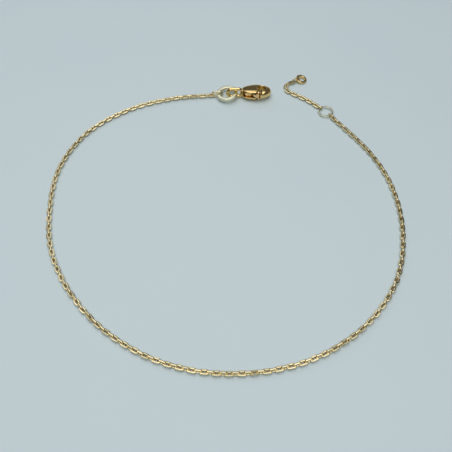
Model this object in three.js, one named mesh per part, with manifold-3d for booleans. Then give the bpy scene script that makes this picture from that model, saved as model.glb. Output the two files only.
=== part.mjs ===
// A fine gold anklet: a loop of oval cable links, a lobster clasp on a heavy ring, and a short
// extender with a shortening ring and an end ring. It lies open on a flat surface.
// Millimetres, +Z up. The origin is the middle of the whole anklet, on that surface.

import * as THREE from "three";
import { mergeVertices } from "three/addons/utils/BufferGeometryUtils.js";
import Module from "manifold-3d";

const wasm = await Module();
wasm.setup();

// One link of the chain, and the two larger links that reach round thicker rings. Those reach past
// the joint that they share with the chain.
const LINK = { length: 1.84, width: 1.12, wire: 0.34, steps: 10, sides: 5 };
const CLASP_LINK = { length: 2.8, width: 1.84, wire: 0.36, steps: 12, sides: 6, past: 0.68 };
const END_LINK = { length: 2.3, width: 1.56, wire: 0.38, steps: 12, sides: 6, past: 0.57 };

// The three round rings. A lean in degrees lifts the ring's right side and its far side.
const CLASP_RING = {
  length: 5.5, width: 5.5, wire: 0.98, steps: 32, sides: 10,
  x: 0.8, y: 34.0, z: 1.15, leanRight: 6.8, leanFar: 0,
};
const SHORTENING_RING = {
  length: 3.8, width: 3.8, wire: 0.38, steps: 28, sides: 8,
  x: 25.3, y: 27.95, z: 0.56, leanRight: 0, leanFar: 0,
};
const END_RING = {
  length: 2.9, width: 2.9, wire: 0.62, steps: 24, sides: 8,
  x: 20.13, y: 40.28, z: 0.58, leanRight: -12, leanFar: 6,
};

// The long run lies in a loop: its distance from the origin at each bearing, counterclockwise from +X.
const CHAIN_LOOP = [
  { bearing: 94.3, radius: 34.2 },
  { bearing: 112, radius: 35.3 },
  { bearing: 130, radius: 37.2 },
  { bearing: 148, radius: 38.8 },
  { bearing: 166, radius: 38.8 },
  { bearing: 184, radius: 38.0 },
  { bearing: 202, radius: 38.3 },
  { bearing: 220, radius: 38.7 },
  { bearing: 238, radius: 39.6 },
  { bearing: 256, radius: 40.6 },
  { bearing: 274, radius: 41.2 },
  { bearing: 292, radius: 41.6 },
  { bearing: 310, radius: 41.4 },
  { bearing: 328, radius: 40.6 },
  { bearing: 346, radius: 39.0 },
  { bearing: 364, radius: 37.8 },
  { bearing: 382, radius: 36.9 },
  { bearing: 405.85, radius: 37.4 },
];
const CHAIN_LINKS = 186;
const OWN_LINKS = 5; // links at each end of the long run that are pieces of their own
const CHAIN_HEIGHT = LINK.width / 2;

// The extender runs straight from the shortening ring, then doubles back to its end ring.
const EXTENDER_ROUTE = [
  { x: 24.34, y: 29.0 },
  { x: 20.9, y: 32.3 },
  { x: 18.1, y: 34.3 },
  { x: 16.55, y: 35.4 },
  { x: 15.85, y: 36.6 },
  { x: 16.1, y: 37.85 },
  { x: 17.05, y: 38.8 },
  { x: 18.2, y: 39.43 },
];
const EXTENDER_LINKS = 14;

// The stand-in for the long run's other links: a bar as thick as the chain.
const BAR = { sides: 8, steps: 80, gap: 0.3 };

// The clasp in its own frame: its axis from the tail (x 0) to the nose, its pivot pin along Z and its
// mouth towards -Y. It lies rolled back on its far edge, which lifts the mouth.
const CLASP = { x: 4.44, y: 34.1, height: 1.4, heading: 3, roll: -12, squareness: 4, ringSides: 32 };
const CLASP_SECTIONS = [
  { x: 0.0, halfWidth: 0.8, halfHeight: 0.66 },
  { x: 0.35, halfWidth: 1.2, halfHeight: 0.9 },
  { x: 1.0, halfWidth: 1.62, halfHeight: 1.08 },
  { x: 1.9, halfWidth: 1.98, halfHeight: 1.17 },
  { x: 3.0, halfWidth: 2.26, halfHeight: 1.2 },
  { x: 4.2, halfWidth: 2.4, halfHeight: 1.2 },
  { x: 5.2, halfWidth: 2.34, halfHeight: 1.2 },
  { x: 6.0, halfWidth: 2.08, halfHeight: 1.16 },
  { x: 6.7, halfWidth: 1.62, halfHeight: 1.04 },
  { x: 7.2, halfWidth: 1.05, halfHeight: 0.82 },
  { x: 7.5, halfWidth: 0.45, halfHeight: 0.5 },
];
const EYE = { length: 4.3, width: 2.8, wire: 0.8, steps: 24, sides: 10, middleX: -1.6 };
const CLAW_HOLE = { x: 5.15, y: 0.25, halfLength: 1.12, halfWidth: 1.0, points: 24 };
const PIVOT = { x: 1.3, y: -0.35, pinRadius: 0.3, holeRadius: 0.4, height: 2, points: 16 };
const SLOT = { back: 0.45, inner: 0.5, front: 4.6, height: 1.1 };
const MOUTH = { back: 3.85, radius: 3.6, inner: -0.55 };
const LEVER = { height: 0.9, headRadius: 0.7, tipRadius: 3.5, points: 8 };
const LEVER_OUTLINE = {
  innerY: -0.85, // the tip's inner corner
  outerY: -2.13, // the tip's outer corner
  knob: { x: 3.75, y: -2.5 },
  rampTop: { x: 2.95, y: -1.95 },
  rampFoot: { x: 2.35, y: -1.15 },
};
const OUTSIDE = 4; // how far a cutting solid reaches past the clasp

const radians = THREE.MathUtils.degToRad;

const yellowGold = () => new THREE.MeshStandardMaterial({ color: 0xe0ab4e, roughness: 0.16, metalness: 1 });
const deepGold = () => new THREE.MeshStandardMaterial({ color: 0xc98f3c, roughness: 0.2, metalness: 1 });

// Joins rings of points into one closed skin. A looped skin also joins its last ring to its first;
// any other is closed with a flat fan at each end.
function skin(rings, looped) {
  const around = rings[0].length;
  const positions = rings.flat().flatMap((point) => point.toArray());
  const index = [];
  const joins = looped ? rings.length : rings.length - 1;
  for (let i = 0; i < joins; i++) {
    const here = i * around;
    const next = ((i + 1) % rings.length) * around;
    for (let j = 0; j < around; j++) {
      const k = (j + 1) % around;
      index.push(here + j, next + j, next + k, here + j, next + k, here + k);
    }
  }
  if (!looped) {
    for (let j = 1; j < around - 1; j++) {
      const last = (rings.length - 1) * around;
      index.push(0, j, j + 1, last, last + j + 1, last + j);
    }
  }
  const geometry = new THREE.BufferGeometry();
  geometry.setAttribute("position", new THREE.Float32BufferAttribute(positions, 3));
  geometry.setIndex(index);
  return geometry;
}

// A closed loop of round wire in the XY plane with its long axis on X. Length and width are outer
// sizes. Equal ones give a round ring; otherwise the sides are straight between two round ends.
function wireLoop({ length, width, wire, steps, sides }) {
  const straight = (length - width) / 2;
  const turn = (width - wire) / 2;
  const perEnd = steps / 2;
  const rings = [];
  for (const end of [1, -1]) {
    for (let i = 0; i < perEnd; i++) {
      const share = straight > 0 ? i / (perEnd - 1) : (i + 0.5) / perEnd;
      const angle = (share - 0.5) * Math.PI;
      const outward = new THREE.Vector3(end * Math.cos(angle), end * Math.sin(angle), 0);
      const centre = new THREE.Vector3(end * straight, 0, 0).addScaledVector(outward, turn);
      const ring = [];
      for (let j = 0; j < sides; j++) {
        const around = ((j + 0.5) / sides) * 2 * Math.PI;
        const point = centre.clone().addScaledVector(outward, (Math.cos(around) * wire) / 2);
        point.z += (Math.sin(around) * wire) / 2;
        ring.push(point);
      }
      rings.push(ring);
    }
  }
  return skin(rings, true);
}

// Manifold solids, for the joins and cuts of the clasp.
function solid(geometry) {
  const bare = geometry.clone();
  bare.deleteAttribute("normal");
  bare.deleteAttribute("uv");
  const merged = mergeVertices(bare, 1e-5);
  const vertProperties = new Float32Array(merged.attributes.position.array);
  const triVerts = new Uint32Array(merged.index.array);
  return new wasm.Manifold(new wasm.Mesh({ numProp: 3, vertProperties, triVerts }));
}

function geometryOf(manifold) {
  const { vertProperties, triVerts } = manifold.getMesh();
  const geometry = new THREE.BufferGeometry();
  geometry.setAttribute("position", new THREE.BufferAttribute(new Float32Array(vertProperties), 3));
  geometry.setIndex(new THREE.BufferAttribute(new Uint32Array(triVerts), 1));
  return geometry;
}

// A flat outline extruded upright between two heights.
function upright(shape, low, high, curveSegments = 8) {
  const geometry = new THREE.ExtrudeGeometry(shape, { depth: high - low, bevelEnabled: false, curveSegments });
  return geometry.translate(0, 0, low);
}

function named(name, geometry, material) {
  const mesh = new THREE.Mesh(geometry, material);
  mesh.name = name;
  return mesh;
}

// Turns a loop of wire to lie from one joint to the next, rolled about its long axis.
function lieBetween(mesh, from, to, roll) {
  mesh.position.lerpVectors(from, to, 0.5);
  mesh.rotation.set(radians(roll), 0, Math.atan2(to.y - from.y, to.x - from.x), "ZYX");
  return mesh;
}

function ring(name, sizes) {
  const mesh = named(name, wireLoop(sizes), yellowGold());
  mesh.position.set(sizes.x, sizes.y, sizes.z);
  mesh.rotation.set(radians(sizes.leanFar), -radians(sizes.leanRight), 0);
  return mesh;
}

// The clasp's outer form: superellipse sections along X, cut flat where it rests.
function claspShell() {
  const rings = CLASP_SECTIONS.map(({ x, halfWidth, halfHeight }) => {
    const points = [];
    for (let j = 0; j < CLASP.ringSides; j++) {
      const angle = (-(j + 0.5) / CLASP.ringSides) * 2 * Math.PI;
      const bulge = (value) => Math.sign(value) * Math.abs(value) ** (2 / CLASP.squareness);
      const y = halfWidth * bulge(Math.cos(angle));
      const z = halfHeight * bulge(Math.sin(angle));
      points.push(new THREE.Vector3(x, y, z));
    }
    return points;
  });
  const below = new THREE.BoxGeometry(6 * OUTSIDE, 2 * OUTSIDE, OUTSIDE);
  below.translate(0, 0, -CLASP.height - OUTSIDE / 2).rotateX(-radians(CLASP.roll));
  return solid(skin(rings, false)).subtract(solid(below));
}

function clawHole() {
  const { x, y, halfLength, halfWidth, points } = CLAW_HOLE;
  const oval = new THREE.Shape().absellipse(x, y, halfLength, halfWidth, 0, 2 * Math.PI);
  return solid(upright(oval, -OUTSIDE, OUTSIDE, points));
}

// The slot that the lever swings in, open to the near side and into the claw's hole.
function leverSlot() {
  const shape = new THREE.Shape();
  shape.moveTo(SLOT.back, -OUTSIDE);
  shape.lineTo(SLOT.front, -OUTSIDE);
  shape.lineTo(SLOT.front, SLOT.inner);
  shape.lineTo(SLOT.back, SLOT.inner);
  shape.closePath();
  return solid(upright(shape, -SLOT.height / 2, SLOT.height / 2));
}

// Where a line at this Y meets a circle about the pivot.
const onPivotCircle = (radius, y) => PIVOT.x + Math.sqrt(radius ** 2 - (y - PIVOT.y) ** 2);

function arcAboutPivot(shape, radius, fromY, toY) {
  const start = Math.asin((fromY - PIVOT.y) / radius);
  const end = Math.asin((toY - PIVOT.y) / radius);
  shape.absarc(PIVOT.x, PIVOT.y, radius, start, end, end < start);
}

// The mouth between the slot's end and the hook's tip, which is round about the pivot.
function mouthGap() {
  const lowest = -PIVOT.x * 2;
  const shape = new THREE.Shape();
  shape.moveTo(MOUTH.back, lowest);
  shape.lineTo(onPivotCircle(MOUTH.radius, lowest), lowest);
  arcAboutPivot(shape, MOUTH.radius, lowest, MOUTH.inner);
  shape.lineTo(MOUTH.back, MOUTH.inner);
  shape.closePath();
  return solid(upright(shape, -OUTSIDE, OUTSIDE, LEVER.points));
}

function pivotPin() {
  const pin = new THREE.CylinderGeometry(PIVOT.pinRadius, PIVOT.pinRadius, PIVOT.height, PIVOT.points);
  return solid(pin.rotateX(Math.PI / 2).translate(PIVOT.x, PIVOT.y, 0));
}

// The upright eye that the heavy ring runs through, cast on to the clasp's tail.
function claspEye() {
  const loop = wireLoop(EYE).rotateX(Math.PI / 2);
  return solid(loop.translate(EYE.middleX, 0, 0));
}

function claspBody() {
  const body = claspShell()
    .subtract(clawHole())
    .subtract(leverSlot())
    .subtract(mouthGap())
    .add(pivotPin())
    .add(claspEye());
  return named("clasp_body", geometryOf(body), yellowGold());
}

// The lever: a round head on the pin, a recessed arm, and a thick end that shuts the mouth.
function claspLever() {
  const { innerY, outerY, knob, rampTop, rampFoot } = LEVER_OUTLINE;
  const { headRadius, tipRadius, height } = LEVER;
  const shape = new THREE.Shape();
  shape.absarc(PIVOT.x, PIVOT.y, headRadius, Math.PI / 2, (3 * Math.PI) / 2, false);
  shape.lineTo(rampFoot.x, rampFoot.y);
  shape.lineTo(rampTop.x, rampTop.y);
  shape.lineTo(knob.x, knob.y);
  shape.lineTo(onPivotCircle(tipRadius, outerY), outerY);
  arcAboutPivot(shape, tipRadius, outerY, innerY);
  shape.closePath();
  const hole = new THREE.Path().absarc(PIVOT.x, PIVOT.y, PIVOT.holeRadius, 0, 2 * Math.PI, true);
  shape.holes.push(hole);
  const geometry = upright(shape, -height / 2, height / 2, LEVER.points);
  return named("clasp_lever", geometry, deepGold());
}

function clasp() {
  const group = new THREE.Group();
  group.position.set(CLASP.x, CLASP.y, CLASP.height);
  group.rotation.set(radians(CLASP.roll), 0, radians(CLASP.heading), "ZYX");
  return group.add(claspBody(), claspLever());
}

// A smooth route through a table of places, at the height of the chain's middle.
function route(places) {
  const points = places.map(({ x, y }) => new THREE.Vector3(x, y, CHAIN_HEIGHT));
  return new THREE.CatmullRomCurve3(points, false, "catmullrom", 0.5);
}

const chainRoute = route(
  CHAIN_LOOP.map(({ bearing, radius }) => ({
    x: radius * Math.cos(radians(bearing)),
    y: radius * Math.sin(radians(bearing)),
  })),
);

const twoDigits = (number) => String(number).padStart(2, "0");

// Where the links of a run turn on each other: in the middle of the upright link's wire, which is
// half a wire inside the level link.
function turningPoints(curve, count, firstRoll) {
  const points = [];
  for (let i = 0; i <= count; i++) {
    const levelNext = (i + firstRoll / 90) % 2 === 0;
    const share = i / count + ((levelNext ? 0.5 : -0.5) * LINK.wire) / curve.getLength();
    points.push(curve.getPointAt(THREE.MathUtils.clamp(share, 0, 1)));
  }
  return points;
}

// Links of one run, each turned a quarter from the one before. Only the wanted ones become pieces.
function links(name, curve, count, firstRoll, wanted) {
  const joints = turningPoints(curve, count, firstRoll);
  const pieces = [];
  for (let i = 0; i < count; i++) {
    if (!wanted(i)) continue;
    const mesh = named(`${name}_${twoDigits(pieces.length + 1)}`, wireLoop(LINK), yellowGold());
    pieces.push(lieBetween(mesh, joints[i], joints[i + 1], firstRoll + 90 * (i % 2)));
  }
  return pieces;
}

// The bar between the links that are pieces of their own, with a flat side down.
function chainBar() {
  const total = chainRoute.getLength();
  const pitch = total / CHAIN_LINKS;
  const end = OWN_LINKS * pitch + (LINK.length - pitch) / 2 + BAR.gap;
  const stretch = [];
  for (let i = 0; i <= BAR.steps; i++) {
    stretch.push(chainRoute.getPointAt((end + ((total - 2 * end) * i) / BAR.steps) / total));
  }
  const section = new THREE.Shape();
  const corner = CHAIN_HEIGHT / Math.cos(Math.PI / BAR.sides);
  for (let i = 0; i < BAR.sides; i++) {
    const angle = ((i + 0.5) / BAR.sides) * 2 * Math.PI;
    const [x, y] = [corner * Math.cos(angle), corner * Math.sin(angle)];
    i === 0 ? section.moveTo(x, y) : section.lineTo(x, y);
  }
  section.closePath();
  const extrudePath = new THREE.CatmullRomCurve3(stretch, false, "catmullrom", 0.5);
  const geometry = new THREE.ExtrudeGeometry(section, { steps: BAR.steps, extrudePath });
  return named("chain", geometry, yellowGold());
}

// The upright link between the clasp's ring and the long run.
function claspLink() {
  const first = chainRoute.getPointAt(0);
  const middleOfFirstLink = chainRoute.getPointAt(0.5 / CHAIN_LINKS);
  const middle = first.x + CLASP_LINK.length / 2 - CLASP_LINK.past;
  const mesh = named("clasp_link", wireLoop(CLASP_LINK), yellowGold());
  mesh.position.set(middle, middleOfFirstLink.y, CLASP_LINK.width / 2);
  mesh.rotation.x = Math.PI / 2;
  return mesh;
}

// The upright link between the extender's last link and its end ring.
function endLink(curve) {
  const last = curve.getPointAt(1);
  const away = new THREE.Vector3(END_RING.x, END_RING.y, last.z).sub(last).normalize();
  const middle = last.clone().addScaledVector(away, END_LINK.length / 2 - END_LINK.past);
  middle.z = END_LINK.width / 2;
  const mesh = named("end_link", wireLoop(END_LINK), yellowGold());
  return lieBetween(mesh, middle.clone().sub(away), middle.clone().add(away), 90);
}

const extenderRoute = route(EXTENDER_ROUTE);
const isEndLink = (i) => i < OWN_LINKS || i >= CHAIN_LINKS - OWN_LINKS;

const anklet = new THREE.Group();
anklet.add(clasp(), ring("clasp_ring", CLASP_RING), claspLink());
anklet.add(...links("chain_link", chainRoute, CHAIN_LINKS, 0, isEndLink), chainBar());
anklet.add(ring("shortening_ring", SHORTENING_RING));
anklet.add(...links("extender_link", extenderRoute, EXTENDER_LINKS, 90, () => true));
anklet.add(endLink(extenderRoute), ring("end_ring", END_RING));

export default anklet;
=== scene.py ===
# The looks of a fine gold anklet: polished cable links, a cast lobster clasp and its rings, lying on
# a pale floor. Lengths are millimetres in the CAD frame until a mesh is made, and metres from there.

import itertools
import math
import random

import bpy
import numpy as np
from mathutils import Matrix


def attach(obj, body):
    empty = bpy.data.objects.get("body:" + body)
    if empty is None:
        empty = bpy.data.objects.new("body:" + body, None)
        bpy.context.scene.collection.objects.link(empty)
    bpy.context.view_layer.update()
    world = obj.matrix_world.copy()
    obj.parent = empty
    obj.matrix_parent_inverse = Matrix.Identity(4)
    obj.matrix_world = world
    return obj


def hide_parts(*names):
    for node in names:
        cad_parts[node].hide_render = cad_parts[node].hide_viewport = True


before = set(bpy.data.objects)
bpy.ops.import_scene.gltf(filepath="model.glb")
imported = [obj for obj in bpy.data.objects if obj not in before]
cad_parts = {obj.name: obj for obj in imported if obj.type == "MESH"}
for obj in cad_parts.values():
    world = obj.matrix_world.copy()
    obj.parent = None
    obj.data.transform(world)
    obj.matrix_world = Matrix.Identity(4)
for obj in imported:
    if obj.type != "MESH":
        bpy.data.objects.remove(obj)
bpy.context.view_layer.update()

MM = 0.001
X, Y, Z = range(3)

# The camera: the point that it looks at, its distance from there and its height above the floor in degrees.
CAMERA = {
    "target": (0.5, -7.4, 0.0), "distance": 128.39, "elevation": 52.78,
    "lens": 47.8, "sensor": 36.0, "near": 1.0, "far": 10000.0,
}

# Soft boxes that face the origin, with their power in watts, and the even light from all round.
SOFT_BOXES = {
    "window": {
        "place": (-200, 440, 480), "width": 620, "height": 400, "power": 0.6, "colour": (0.97, 1.0, 1.0),
    },
    "overhead": {
        "place": (0, -50, 440), "width": 460, "height": 580, "power": 1.35, "colour": (1.0, 1.0, 0.96),
    },
}
AMBIENT = {"colour": (0.95, 0.92, 0.92), "strength": 0.11}

# The floor is flat round the anklet and rises to a rim of this radius and height.
FLOOR = {
    "flat_radii": (40.0, 100.0, 200.0, 350.0), "rim": 750.0, "height": 110.0, "climb_steps": 16, "turns": 96,
    "light": (0.78, 0.91, 0.97), "deep": (0.74, 0.87, 0.95), "roughness": 0.55,
}

# The golds. The light and deep colours are those of faint clouds, and scratch is how strong hairlines are.
GOLDS = {
    "chain_gold": {
        "light": (0.84, 0.73, 0.47), "deep": (0.66, 0.55, 0.32), "roughness": 0.08, "scratch": 0.08,
    },
    "clasp_gold": {
        "light": (0.93, 0.69, 0.32), "deep": (0.84, 0.60, 0.24), "roughness": 0.10, "scratch": 0.15,
    },
    "lever_gold": {
        "light": (0.95, 0.70, 0.38), "deep": (0.85, 0.60, 0.30), "roughness": 0.12, "scratch": 0.2,
    },
    "ring_gold": {
        "light": (0.83, 0.82, 0.64), "deep": (0.76, 0.73, 0.52), "roughness": 0.2, "scratch": 0.15,
    },
}

# Noise of each kind, by the sockets of its node. Scale is in waves a metre, roughly.
NOISE = {
    "clouds": {"Scale": 420.0, "Detail": 3.0},
    "wear": {"Scale": 1500.0, "Detail": 5.0},
    "hairs": {"Scale": 1400.0, "Detail": 4.0},
    "floor": {"Scale": 28.0, "Detail": 4.0},
}
WEAR = {"low": 0.3, "high": 0.7, "smoothest": 0.7, "roughest": 1.5}  # noise levels, and shares of roughness
HAIRS = {"turn": (0.3, 0.2, 0.5), "stretch": (1.0, 14.0, 9.0), "depth": 0.01}

# One link of the chain, and the larger links next to the thicker rings. The flat is half the height
# left by the polishing wheel, and the shave is what it takes off the outer sides. The larger links
# reach past the joint that they share with the chain.
LINK = {"length": 1.94, "width": 1.15, "wire": 0.42, "steps": 28, "sides": 12, "flat": 0.175, "shave": 0.03}
CLASP_LINK = {
    "length": 3.1, "width": 1.84, "wire": 0.44, "steps": 48, "sides": 18, "flat": 0.2, "shave": 0.012,
}
END_LINK = {
    "length": 2.3, "width": 1.56, "wire": 0.38, "steps": 48, "sides": 18, "flat": 0.17, "shave": 0.012,
}
CLASP_LINK_PAST = 0.68
END_LINK_PAST = 0.57

# The round rings. The flat is how much of the wire's half height the polishing wheel leaves, a lean in
# degrees lifts the ring's right or far side, and the seam is where its ends are soldered, in degrees.
CLASP_RING = {
    "outer": 5.5, "wire": 0.98, "flat": 0.8, "place": (0.8, 34.0, 1.15),
    "lean_right": 6.8, "lean_far": 0.0, "seam": 250,
}
SHORTENING_RING = {
    "outer": 3.8, "wire": 0.38, "flat": 0.95, "place": (25.3, 27.95, 0.56),
    "lean_right": 0.0, "lean_far": 0.0, "seam": 20,
}
END_RING = {
    "outer": 2.9, "wire": 0.62, "flat": 0.95, "place": (20.13, 40.28, 0.58),
    "lean_right": -12.0, "lean_far": 6.0, "seam": 120,
}
RING_STEPS = 128
RING_SIDES = 32
SEAM_DEPTH = 0.02
SEAM_WIDTH = 0.06
FLAT_EDGE = 1.6  # how sharply the wire turns into its flat

# The long run lies in a loop: (bearing in degrees counterclockwise from +X, distance from the origin).
CHAIN_LOOP = [
    (94.3, 34.2), (112, 35.3), (130, 37.2), (148, 38.8), (166, 38.8), (184, 38.0),
    (202, 38.3), (220, 38.7), (238, 39.6), (256, 40.6), (274, 41.2), (292, 41.6),
    (310, 41.4), (328, 40.6), (346, 39.0), (364, 37.8), (382, 36.9), (405.85, 37.4),
]
CHAIN_LINKS = 186
OWN_LINKS = 10  # links of the long run that are CAD nodes of their own

# The extender's route, as (x, y).
EXTENDER_ROUTE = [
    (24.34, 29.0), (20.9, 32.3), (18.1, 34.3), (16.55, 35.4),
    (15.85, 36.6), (16.1, 37.85), (17.05, 38.8), (18.2, 39.43),
]
EXTENDER_LINKS = 14

# How far each run is twisted about its length: (link number, degrees).
CHAIN_TWIST = [
    (0, 0), (8, -6), (16, -11), (26, -16), (34, -7), (42, 4), (50, 8),
    (58, 6), (64, -2), (72, -16), (84, -13), (94, -7), (106, -17), (118, -9),
    (128, -18), (138, -4), (146, 8), (158, 4), (170, 8), (180, 4), (185, 0),
]
EXTENDER_TWIST = [(0, -10), (14, -14)]
ROLL_SLACK = 7.0  # degrees that a link may roll off the run's own twist
SIDE_SLACK = 0.035  # how far a joint may lie beside the route

# The clasp in a frame of its own: its tail at x 0, its mouth towards -Y, its pivot pin along Z. It lies
# rolled back on its far edge, at this heading and roll in degrees.
CLASP = {"place": (4.44, 34.1, 1.4), "heading": 3.0, "roll": -12.0}

# Sections of the case: (x, half width, half height). Squareness is the superellipse's power: (x, power).
CLASP_SECTIONS = [
    (0.0, 0.8, 0.66), (0.35, 1.2, 0.9), (1.0, 1.62, 1.08), (1.9, 1.98, 1.17),
    (3.0, 2.26, 1.2), (4.2, 2.4, 1.2), (5.2, 2.34, 1.2), (6.0, 2.08, 1.16),
    (6.7, 1.62, 1.04), (7.2, 1.05, 0.82), (7.5, 0.45, 0.5),
]
CLASP_SQUARENESS = [(4.0, 4.7), (5.1, 2.3)]
EYE = {"length": 4.5, "width": 2.8, "wire": 0.9, "x": -1.7}
CLAW_HOLE = {"x": 5.15, "y": 0.25, "half_length": 1.12, "half_width": 1.0}
PIVOT = {"x": 1.3, "y": -0.35, "pin": 0.3, "hole": 0.4, "sunk": 0.1}
SLOT = {"back": 0.32, "inner": 0.5, "front": 4.6, "low": -0.55, "high": 0.84}

# The mouth, and the room that the lever's thick end sweeps from it into the claw hole.
MOUTH = {"back": 3.85, "radius": 3.56, "inner": -0.55, "sweep_radius": 2.84, "sweep_inner": 0.2}

# The lever's recessed arm from its head to its tip, and its thick end, which is as high as the case.
LEVER = {"height": 0.9, "head": 0.7, "tip": 3.5, "inner": -0.85, "outer": -2.13, "ease": 0.28}
LEVER_RAMP = [(2.35, -1.15), (2.95, -1.95), (3.75, -2.5)]
LEVER_BLOCK = {"x": 3.93, "radius": 2.95, "inset": 0.03}

# How far the cast edges are rounded, and the lowest and highest corners of the boxes round the castings.
ROUNDING = {
    "case_ends": 0.35, "resting_face": 0.12, "claw_hole": 0.3, "slot": 0.09, "mouth": 0.06, "eye": 0.3,
    "pin_hole": 0.05, "arm": 0.22, "block_back": 0.12, "block_side": 0.05, "block_foot": 0.12,
}
CASE_BOX = ((-4.1, -2.6, -1.55), (7.7, 2.6, 1.55))
LEVER_BOX = ((0.4, -2.7, -1.3), (5.0, 0.6, 1.3))
CELL = 0.045  # the size of the quads of the castings

# Edges sharper than this many degrees aren't shaded smooth.
WIRE_SHARP = 40
CAST_SHARP = 60

random.seed(11)


# Materials

def noise(tree, vector, kind):
    """Noise of one kind on a vector socket."""
    node = tree.nodes.new("ShaderNodeTexNoise")
    for socket, value in NOISE[kind].items():
        node.inputs[socket].default_value = value
    tree.links.new(vector, node.inputs["Vector"])
    return node.outputs["Fac"]


def clouded(tree, vector, kind, one, other):
    """A colour that goes from one to the other with noise."""
    mix = tree.nodes.new("ShaderNodeMix")
    mix.data_type = "RGBA"
    mix.inputs["A"].default_value = (*one, 1)
    mix.inputs["B"].default_value = (*other, 1)
    tree.links.new(noise(tree, vector, kind), mix.inputs["Factor"])
    return mix.outputs["Result"]


def worn_roughness(tree, vector, roughness):
    """A roughness that finger wear takes below and above its middle."""
    polish = tree.nodes.new("ShaderNodeMapRange")
    polish.inputs["From Min"].default_value = WEAR["low"]
    polish.inputs["From Max"].default_value = WEAR["high"]
    polish.inputs["To Min"].default_value = roughness * WEAR["smoothest"]
    polish.inputs["To Max"].default_value = roughness * WEAR["roughest"]
    tree.links.new(noise(tree, vector, "wear"), polish.inputs["Value"])
    return polish.outputs["Result"]


def hairlines(tree, vector, scratch):
    """A bump of long fine scratches."""
    stretch = tree.nodes.new("ShaderNodeMapping")
    stretch.inputs["Rotation"].default_value = HAIRS["turn"]
    stretch.inputs["Scale"].default_value = HAIRS["stretch"]
    tree.links.new(vector, stretch.inputs["Vector"])
    bump = tree.nodes.new("ShaderNodeBump")
    bump.inputs["Strength"].default_value = scratch
    bump.inputs["Distance"].default_value = HAIRS["depth"] * MM
    tree.links.new(noise(tree, stretch.outputs["Vector"], "hairs"), bump.inputs["Height"])
    return bump.outputs["Normal"]


def new_material(name):
    """A material with its node tree, its shader and a socket of object coordinates."""
    material = bpy.data.materials.new(name)
    material.use_nodes = True
    tree = material.node_tree
    place = tree.nodes.new("ShaderNodeTexCoord")
    return material, tree, tree.nodes["Principled BSDF"], place.outputs["Object"]


def gold(name, light, deep, roughness, scratch):
    """Polished gold with faint clouding, finger wear and hairline scratches."""
    material, tree, shader, place = new_material(name)
    shader.inputs["Metallic"].default_value = 1.0
    tree.links.new(clouded(tree, place, "clouds", light, deep), shader.inputs["Base Color"])
    tree.links.new(worn_roughness(tree, place, roughness), shader.inputs["Roughness"])
    tree.links.new(hairlines(tree, place, scratch), shader.inputs["Normal"])
    return material


def floor_material():
    """A pale matt floor with a hardly visible cloudiness."""
    material, tree, shader, place = new_material("pale_floor")
    shader.inputs["Roughness"].default_value = FLOOR["roughness"]
    tree.links.new(clouded(tree, place, "floor", FLOOR["deep"], FLOOR["light"]), shader.inputs["Base Color"])
    return material


materials = {slot: gold(slot, **look) for slot, look in GOLDS.items()}


# Pieces, turns and routes

def piece(name, shape, slot, replaced, body="anklet", sharp=WIRE_SHARP):
    """A smooth mesh piece that rides on a body, from points in millimetres and faces."""
    points, faces = shape
    mesh = bpy.data.meshes.new(name)
    mesh.from_pydata((np.asarray(points) * MM).tolist(), [], np.asarray(faces).tolist())
    mesh.shade_smooth()
    mesh.set_sharp_from_angle(angle=math.radians(sharp))
    mesh.materials.append(materials[slot])
    made = bpy.data.objects.new(name, mesh)
    bpy.context.scene.collection.objects.link(made)
    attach(made, body)
    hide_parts(*replaced)


def turn_about(axis, degrees):
    """The matrix of a turn about X, Y or Z."""
    one, two = (axis + 1) % 3, (axis + 2) % 3
    turn = np.eye(3)
    turn[one, one] = turn[two, two] = math.cos(math.radians(degrees))
    turn[two, one] = math.sin(math.radians(degrees))
    turn[one, two] = -turn[two, one]
    return turn


def circle(angles):
    """The unit circle's points at angles in radians."""
    return np.stack([np.cos(angles), np.sin(angles)], axis=-1)


def smooth_route(places, per_span=60):
    """Close points on the smooth curve through a table of places, as the CAD's routes are."""
    table = np.array(places, float)
    table = np.vstack([2 * table[0] - table[1], table, 2 * table[-1] - table[-2]])
    points = []
    for i in range(1, len(table) - 2):
        p0, p1, p2, p3 = table[i - 1:i + 3]
        t = np.arange(per_span)[:, None] / per_span
        leave, arrive = (p2 - p0) / 2, (p3 - p1) / 2
        cubic = 2 * (p1 - p2) + leave + arrive
        square = 3 * (p2 - p1) - 2 * leave - arrive
        points.append(p1 + leave * t + square * t ** 2 + cubic * t ** 3)
    points.append(table[-2:-1])
    return np.concatenate(points)


def points_at(route, shares, shift=0):
    """Points at shares of a route's length, shifted along it by a distance."""
    gone = np.concatenate([[0], np.cumsum(np.linalg.norm(np.diff(route, axis=0), axis=1))])
    wanted = np.clip(shares * gone[-1] + shift, 0, gone[-1])
    return np.stack([np.interp(wanted, gone, route[:, axis]) for axis in (X, Y)], axis=-1)


# Links and rings

def tube_faces(steps, sides):
    """The quads of a closed tube whose rings come one after another."""
    here = np.arange(steps * sides).reshape(steps, sides)
    ahead = np.roll(here, -1, axis=0)
    quads = [here, ahead, np.roll(ahead, -1, axis=1), np.roll(here, -1, axis=1)]
    return np.stack(quads, axis=-1).reshape(-1, 4)


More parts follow.
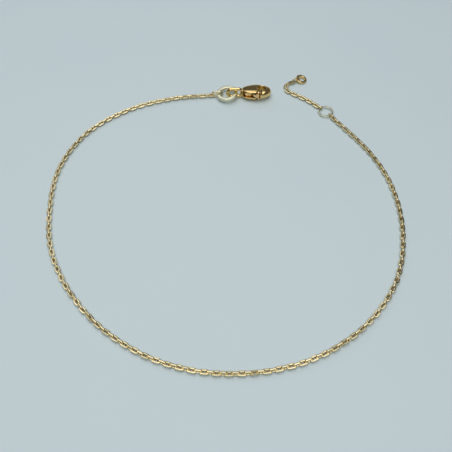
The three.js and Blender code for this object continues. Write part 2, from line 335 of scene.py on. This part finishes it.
def wire_loop(length, width, wire, steps, sides, flat, shave):
    """A link of round wire in the XY plane, long on X, with flats polished on its faces and sides."""
    straight = (length - width) / 2
    turn = (width - wire) / 2
    per_end = steps // 2
    share = np.arange(per_end) / (per_end - 1) - 0.5
    outward = circle(np.concatenate([share, share + 1]) * math.pi)
    centre = outward * turn
    centre[:, X] += np.repeat([straight, -straight], per_end)
    around = (np.arange(sides) + 0.5) / sides * 2 * math.pi
    reach = np.cos(around) * wire / 2
    points = np.empty((steps, sides, 3))
    points[..., :Z] = centre[:, None] + outward[:, None] * reach[None, :, None]
    points[..., Z] = np.clip(np.sin(around) * wire / 2, -flat, flat)
    limit = width / 2 - shave
    points[..., Y] = np.clip(points[..., Y], -limit, limit)
    return points.reshape(-1, 3), tube_faces(steps, sides)


def lie_between(start, end, roll):
    """The turn and the middle of a link between two joints, rolled about its length in degrees."""
    start, end = np.asarray(start, float), np.asarray(end, float)
    along = (end - start) / np.linalg.norm(end - start)
    level = np.cross((0, 0, 1), along)
    level /= np.linalg.norm(level)
    over = np.cross(along, level)
    c, s = math.cos(math.radians(roll)), math.sin(math.radians(roll))
    return np.stack([along, c * level + s * over, c * over - s * level], axis=-1), (start + end) / 2


def joined(shape, places):
    """Copies of one shape at each (turn, middle), as one array of points and one of faces."""
    points, faces = shape
    all_points = [points @ turn.T + middle for turn, middle in places]
    all_faces = [faces + i * len(points) for i in range(len(places))]
    return np.concatenate(all_points), np.concatenate(all_faces)


def turning_points(route, count, first_roll):
    """Where the links turn on each other: in the middle of the upright link's wire."""
    number = np.arange(count + 1)
    way = np.where((number + first_roll // 90) % 2 == 0, 0.5, -0.5)
    return points_at(route, number / count, way * LINK["wire"])


def run_of_links(route, count, first_roll, twist_table):
    """Where each link of a run lies: every other one a quarter turn on, and the whole run twisted."""
    joints = turning_points(route, count, first_roll)
    twists = np.interp(np.arange(count + 1), *zip(*twist_table))
    reach = (LINK["width"] - LINK["wire"]) / 2
    heights = LINK["wire"] / 2 + reach * np.abs(circle(np.radians(twists))).max(axis=1)
    spots = []
    for joint, height in zip(joints, heights):
        aside = [random.uniform(-SIDE_SLACK, SIDE_SLACK) for _ in range(2)]
        spots.append((joint[X] + aside[X], joint[Y] + aside[Y], height))
    for end in (0, count):
        spots[end] = (*joints[end], heights[end])
    places = []
    for i in range(count):
        roll = first_roll + 90 * (i % 2) + twists[i]
        if 1 < i < count - 2:
            roll += random.uniform(-ROLL_SLACK, ROLL_SLACK)
        places.append(lie_between(spots[i], spots[i + 1], roll))
    return places


def upright_link(link, middle, along):
    """A larger link that stands on its side, from its middle and its direction in the XY plane."""
    ends = [(*(middle + along * way), link["width"] / 2) for way in (-1, 1)]
    return joined(wire_loop(**link), [lie_between(*ends, 90)])


def flattened(share, flat):
    """Presses shares of a half height softly down to a flat."""
    return flat * np.tanh(share / flat * FLAT_EDGE) / math.tanh(FLAT_EDGE / flat)


def round_ring(outer, wire, flat, place, lean_right, lean_far, seam):
    """A ring of round wire, with the fine seam where its ends are soldered."""
    turn = (outer - wire) / 2
    angle = np.arange(RING_STEPS) / RING_STEPS * 2 * math.pi
    from_seam = np.abs((angle - math.radians(seam) + math.pi) % (2 * math.pi) - math.pi) * turn
    thin = wire / 2 - SEAM_DEPTH * np.exp(-((from_seam / SEAM_WIDTH) ** 2))
    around = np.arange(RING_SIDES) / RING_SIDES * 2 * math.pi
    points = np.empty((RING_STEPS, RING_SIDES, 3))
    points[..., :Z] = circle(angle)[:, None] * (turn + thin[:, None] * np.cos(around))[..., None]
    points[..., Z] = thin[:, None] * flattened(np.sin(around), flat)
    lean = turn_about(X, lean_far) @ turn_about(Y, -lean_right)
    return points.reshape(-1, 3) @ lean.T + place, tube_faces(RING_STEPS, RING_SIDES)


# Castings: surfaces where a field is zero, negative inside

def smooth_max(a, b, blend):
    """The larger of two fields, rounded where they cross. It keeps what is inside both."""
    near = np.maximum(blend - np.abs(a - b), 0) / blend
    return np.maximum(a, b) + near ** 2 * blend / 4


def smooth_min(a, b, blend):
    """What is inside either of two fields, with a fillet where they meet."""
    return -smooth_max(-a, -b, blend)


def pull_on_to(field, points, rounds=4, step=0.003, least_steep=0.1):
    """Moves points on to the surface where a field is zero."""
    for _ in range(rounds):
        slope = np.empty_like(points)
        for axis in (X, Y, Z):
            aside = np.zeros(3)
            aside[axis] = step
            slope[:, axis] = (field(*(points + aside).T) - field(*(points - aside).T)) / (2 * step)
        steep = np.maximum((slope ** 2).sum(axis=1), least_steep)
        move = -(field(*points.T) / steep)[:, None] * slope
        points = points + np.clip(move, -CELL / 2, CELL / 2)
    return points


def crossed_cells(values):
    """Which cells of a grid the surface crosses, and the mean place of its crossings in each, in cells."""
    counts = np.array(values.shape)
    total = np.zeros((*(counts - 1), 3))
    crossings = np.zeros(counts - 1)
    for axis, b, c in itertools.product((X, Y, Z), (0, 1), (0, 1)):
        start = [0, 0, 0]
        start[(axis + 1) % 3], start[(axis + 2) % 3] = b, c
        end = list(start)
        end[axis] = 1
        v0 = values[tuple(slice(o, o + n - 1) for o, n in zip(start, counts))]
        v1 = values[tuple(slice(o, o + n - 1) for o, n in zip(end, counts))]
        crossed = (v0 < 0) != (v1 < 0)
        share = np.where(crossed, v0 / np.where(crossed, v0 - v1, 1), 0)
        for other in (X, Y, Z):
            total[..., other] += np.where(crossed, share if other == axis else start[other], 0)
        crossings += crossed
    used = crossings > 0
    return used, np.argwhere(used) + total[used] / crossings[used][:, None]


def quads_between(values, number):
    """A quad for each edge of a grid that the surface crosses, between the points of the cells round it."""
    faces = []
    for axis in (X, Y, Z):
        order = (axis, (axis + 1) % 3, (axis + 2) % 3)
        here = np.moveaxis(values, order, (0, 1, 2))
        cells = np.moveaxis(number, order, (0, 1, 2))
        v0, v1 = here[:-1, 1:-1, 1:-1], here[1:, 1:-1, 1:-1]
        around = [cells[:, :-1, :-1], cells[:, 1:, :-1], cells[:, 1:, 1:], cells[:, :-1, 1:]]
        outward = (v0 < 0) & (v1 >= 0)
        inward = (v0 >= 0) & (v1 < 0)
        faces.append(np.stack([corner[outward] for corner in around], axis=-1))
        faces.append(np.stack([corner[inward] for corner in reversed(around)], axis=-1))
    return np.concatenate(faces)


def cast_surface(field, low, high):
    """The surface where a field is zero in a box, as quads with one point in each cell that it crosses."""
    low = np.array(low, float)
    counts = np.ceil((np.array(high) - low) / CELL).astype(int) + 1
    axes = [low[axis] + CELL * np.arange(counts[axis]) for axis in (X, Y, Z)]
    values = field(*np.meshgrid(*axes, indexing="ij"))
    used, places = crossed_cells(values)
    number = np.full(used.shape, -1)
    number[used] = np.arange(used.sum())
    return pull_on_to(field, low + places * CELL), quads_between(values, number)


def on_floor(shape):
    """A casting turned and lifted from the clasp's own frame to where the clasp lies."""
    points, faces = shape
    turn = turn_about(Z, CLASP["heading"]) @ turn_about(X, CLASP["roll"])
    return points @ turn.T + CLASP["place"], faces


# The clasp's case

clasp_profile = smooth_route(CLASP_SECTIONS, per_span=24)


def from_pivot(x, y):
    """The distance from the pivot pin's axis."""
    return np.hypot(x - PIVOT["x"], y - PIVOT["y"])


def shell_field(x, y, z):
    """The clasp's outer form: superellipse sections along X, closed at both ends, flat where it rests."""
    power = np.interp(x, *zip(*CLASP_SQUARENESS))
    half_width = np.interp(x, clasp_profile[:, 0], clasp_profile[:, 1])
    half_height = np.interp(x, clasp_profile[:, 0], clasp_profile[:, 2])
    across, up = np.abs(y) / half_width, np.abs(z) / half_height
    bulk = np.maximum(across ** power + up ** power, 1e-6) ** (1 / power)
    steep = np.hypot(across ** (power - 1) / half_width, up ** (power - 1) / half_height)
    form = (bulk - 1) / np.maximum(steep / bulk ** (power - 1), 0.25)
    ends = np.maximum(-x, x - CLASP_SECTIONS[-1][0])
    roll = math.radians(CLASP["roll"])
    above_floor = CLASP["place"][Z] + y * math.sin(roll) + z * math.cos(roll)
    form = smooth_max(form, ends, ROUNDING["case_ends"])
    return smooth_max(form, -above_floor, ROUNDING["resting_face"])


def eye_field(x, y, z):
    """The long eye at the tail, of round wire in the XZ plane."""
    straight = (EYE["length"] - EYE["width"]) / 2
    turn = (EYE["width"] - EYE["wire"]) / 2
    along = np.maximum(np.abs(x - EYE["x"]) - straight, 0)
    return np.hypot(np.hypot(along, z) - turn, y) - EYE["wire"] / 2


def claw_hole_field(x, y):
    """The oval hole through the claw."""
    length, width = CLAW_HOLE["half_length"], CLAW_HOLE["half_width"]
    share = np.hypot((x - CLAW_HOLE["x"]) / length, (y - CLAW_HOLE["y"]) / width)
    return (share - 1) * (length + width) / 2


def slot_field(x, y, z):
    """The slot that the lever's arm lies in, open at the front of the case."""
    along = np.maximum(SLOT["back"] - x, x - SLOT["front"])
    up = np.maximum(SLOT["low"] - z, z - SLOT["high"])
    return np.maximum(np.maximum(along, y - SLOT["inner"]), up)


def mouth_field(x, y):
    """The mouth that the lever's thick end closes, with the way that it sweeps into the hole."""
    radius = from_pivot(x, y)
    closed = np.maximum(MOUTH["back"] - x, y - MOUTH["inner"])
    swept = np.maximum(MOUTH["sweep_radius"] - radius, y - MOUTH["sweep_inner"])
    return np.maximum(np.minimum(closed, swept), radius - MOUTH["radius"])


def case_field(x, y, z):
    """The cast case with its hook, pivot pin and eye."""
    form = smooth_max(shell_field(x, y, z), -claw_hole_field(x, y), ROUNDING["claw_hole"])
    form = smooth_max(form, -slot_field(x, y, z), ROUNDING["slot"])
    form = smooth_max(form, -mouth_field(x, y), ROUNDING["mouth"])
    pin = np.maximum(from_pivot(x, y) - PIVOT["pin"], np.abs(z) - SLOT["high"] - PIVOT["sunk"])
    return smooth_min(np.minimum(form, pin), eye_field(x, y, z), ROUNDING["eye"])


# The clasp's lever

def ease_corners(corners, reach, steps=4, most=0.45):
    """Rounds an outline's corners, each within a reach and within a share of the sides next to it."""
    eased = []
    for before, corner, after in zip(np.roll(corners, 1, axis=0), corners, np.roll(corners, -1, axis=0)):
        back, on = before - corner, after - corner
        back *= min(reach, np.linalg.norm(back) * most) / np.linalg.norm(back)
        on *= min(reach, np.linalg.norm(on) * most) / np.linalg.norm(on)
        for t in np.linspace(0, 1, steps + 1):
            eased.append(corner + back * (1 - t) ** 2 + on * t ** 2)
    return np.array(eased)


def lever_outline(head_steps=16, tip_steps=8):
    """The lever from above: a round head, a recessed arm and a thick end, with its corners eased."""
    pivot = np.array((PIVOT["x"], PIVOT["y"]))
    half_turn = math.pi / 2 + math.pi * np.arange(head_steps + 1) / head_steps
    head = pivot + LEVER["head"] * circle(half_turn)
    across = LEVER["outer"] + (LEVER["inner"] - LEVER["outer"]) * np.arange(tip_steps + 1) / tip_steps
    tip = np.stack([PIVOT["x"] + np.sqrt(LEVER["tip"] ** 2 - (across - PIVOT["y"]) ** 2), across], axis=-1)
    return ease_corners(np.concatenate([head, LEVER_RAMP, tip]), LEVER["ease"])


def outline_distance(x, y, corners):
    """How far points are from a closed outline in the plane, negative inside it."""
    nearest = np.full(np.shape(x), np.inf)
    inside = np.zeros(np.shape(x), bool)
    for (x0, y0), (x1, y1) in zip(corners, np.roll(corners, -1, axis=0)):
        ex, ey = x1 - x0, y1 - y0
        share = np.clip(((x - x0) * ex + (y - y0) * ey) / (ex * ex + ey * ey), 0, 1)
        nearest = np.minimum(nearest, np.hypot(x - x0 - share * ex, y - y0 - share * ey))
        if ey != 0:
            inside ^= ((y0 <= y) != (y1 <= y)) & (x < x0 + (y - y0) * ex / ey)
    return np.where(inside, -nearest, nearest)


lever_corners = lever_outline()


def lever_plan(x, y):
    """The lever's outline, worked out once for each column of a grid."""
    if np.ndim(x) == 3:
        return outline_distance(x[:, :, :1], y[:, :, :1], lever_corners) + 0 * x
    return outline_distance(x, y, lever_corners)


def lever_field(x, y, z):
    """The lever: an arm that lies in the slot, and a thick end that follows the case's outer form."""
    radius = from_pivot(x, y)
    plan = smooth_max(lever_plan(x, y), PIVOT["hole"] - radius, ROUNDING["pin_hole"])
    arm = smooth_max(plan, np.abs(z) - LEVER["height"] / 2, ROUNDING["arm"])
    behind = np.maximum(LEVER_BLOCK["x"] - x, LEVER_BLOCK["radius"] - radius)
    block = smooth_max(behind, shell_field(x, y, z) + LEVER_BLOCK["inset"], ROUNDING["block_back"])
    block = smooth_max(plan, block, ROUNDING["block_side"])
    return smooth_min(arm, block, ROUNDING["block_foot"])


# The anklet

def numbered(stem, count):
    """The names of a run's nodes."""
    return [f"{stem}_{n:02d}" for n in range(1, count + 1)]


def chain_and_extender():
    """Both runs of links, and the two larger links that reach round the thicker rings."""
    chain_route = smooth_route([
        (distance * math.cos(math.radians(bearing)), distance * math.sin(math.radians(bearing)))
        for bearing, distance in CHAIN_LOOP
    ])
    extender_route = smooth_route(EXTENDER_ROUTE)
    link = wire_loop(**LINK)
    chain = joined(link, run_of_links(chain_route, CHAIN_LINKS, 0, CHAIN_TWIST))
    piece("chain_links", chain, "chain_gold", ["chain", *numbered("chain_link", OWN_LINKS)])
    extender = joined(link, run_of_links(extender_route, EXTENDER_LINKS, 90, EXTENDER_TWIST))
    piece("extender_links", extender, "chain_gold", numbered("extender_link", EXTENDER_LINKS))

    half_link = points_at(chain_route, np.array([0.5 / CHAIN_LINKS]))[0]
    middle = np.array((chain_route[0][X] + CLASP_LINK["length"] / 2 - CLASP_LINK_PAST, half_link[Y]))
    clasp_link = upright_link(CLASP_LINK, middle, np.array((1.0, 0.0)))
    piece("clasp_link_wire", clasp_link, "chain_gold", ["clasp_link"])

    last = extender_route[-1]
    away = np.array(END_RING["place"][:Z]) - last
    away /= np.linalg.norm(away)
    end_link = upright_link(END_LINK, last + away * (END_LINK["length"] / 2 - END_LINK_PAST), away)
    piece("end_link_wire", end_link, "chain_gold", ["end_link"])


def rings():
    """The clasp's heavy ring, the shortening ring and the end ring."""
    piece("clasp_ring_wire", round_ring(**CLASP_RING), "ring_gold", ["clasp_ring"])
    piece("shortening_ring_wire", round_ring(**SHORTENING_RING), "ring_gold", ["shortening_ring"])
    piece("end_ring_wire", round_ring(**END_RING), "clasp_gold", ["end_ring"])


def clasp():
    """The clasp's case and its lever."""
    case = on_floor(cast_surface(case_field, *CASE_BOX))
    piece("clasp_case", case, "clasp_gold", ["clasp_body"], sharp=CAST_SHARP)
    lever = on_floor(cast_surface(lever_field, *LEVER_BOX))
    piece("clasp_thumb_lever", lever, "lever_gold", ["clasp_lever"], body="lever", sharp=CAST_SHARP)


# Floor, light and camera

def pale_floor():
    """A pale floor that rises softly into a low rim, far from the anklet."""
    flat, rim, steps = FLOOR["flat_radii"][-1], FLOOR["rim"], FLOOR["climb_steps"]
    radii = [*FLOOR["flat_radii"], *(flat + (rim - flat) * k / steps for k in range(1, steps + 1))]
    turns = FLOOR["turns"]
    points = [(0.0, 0.0, 0.0)]
    for radius in radii:
        climb = max(0.0, (radius - flat) / (rim - flat))
        for x, y in circle(2 * math.pi * np.arange(turns) / turns) * radius:
            points.append((x, y, FLOOR["height"] * climb ** 2))
    faces = [(0, 1 + k, 1 + (k + 1) % turns) for k in range(turns)]
    for inner in range(1, 1 + turns * (len(radii) - 1), turns):
        for k in range(turns):
            n = (k + 1) % turns
            faces.append((inner + k, inner + turns + k, inner + turns + n, inner + n))
    mesh = bpy.data.meshes.new("floor")
    mesh.from_pydata((np.array(points) * MM).tolist(), [], faces)
    mesh.shade_smooth()
    mesh.materials.append(floor_material())
    floor = bpy.data.objects.new("floor", mesh)
    bpy.context.scene.collection.objects.link(floor)


def soft_box(name, place, width, height, power, colour):
    """A soft light that faces the origin."""
    data = bpy.data.lights.new(name, "AREA")
    data.shape = "RECTANGLE"
    data.size, data.size_y = width * MM, height * MM
    data.energy = power
    data.color = colour
    lamp = bpy.data.objects.new(name, data)
    bpy.context.scene.collection.objects.link(lamp)
    lamp.location = [c * MM for c in place]
    x, y, z = place
    lamp.rotation_euler = (math.atan2(math.hypot(x, y), z), 0, math.atan2(x, -y))


def ambient_light():
    """An even faint light from all round."""
    world = bpy.data.worlds.new("studio")
    bpy.context.scene.world = world
    world.use_nodes = True
    background = world.node_tree.nodes["Background"]
    background.inputs["Color"].default_value = (*AMBIENT["colour"], 1)
    background.inputs["Strength"].default_value = AMBIENT["strength"]
    bpy.context.scene.view_settings.view_transform = "Standard"


def photo_camera():
    """The camera at the photograph's viewing angle, in front of the anklet."""
    lens = bpy.data.cameras.new("camera")
    lens.sensor_width = CAMERA["sensor"]
    lens.lens = CAMERA["lens"]
    lens.clip_start = CAMERA["near"] * MM
    lens.clip_end = CAMERA["far"] * MM
    camera = bpy.data.objects.new("camera", lens)
    bpy.context.scene.collection.objects.link(camera)
    elevation = math.radians(CAMERA["elevation"])
    back = CAMERA["distance"] * MM
    x, y, z = (c * MM for c in CAMERA["target"])
    camera.location = (x, y - back * math.cos(elevation), z + back * math.sin(elevation))
    camera.rotation_euler = (math.pi / 2 - elevation, 0, 0)
    return camera


chain_and_extender()
rings()
clasp()
pale_floor()
for name, box in SOFT_BOXES.items():
    soft_box(name, **box)
ambient_light()
bpy.context.scene.camera = photo_camera()
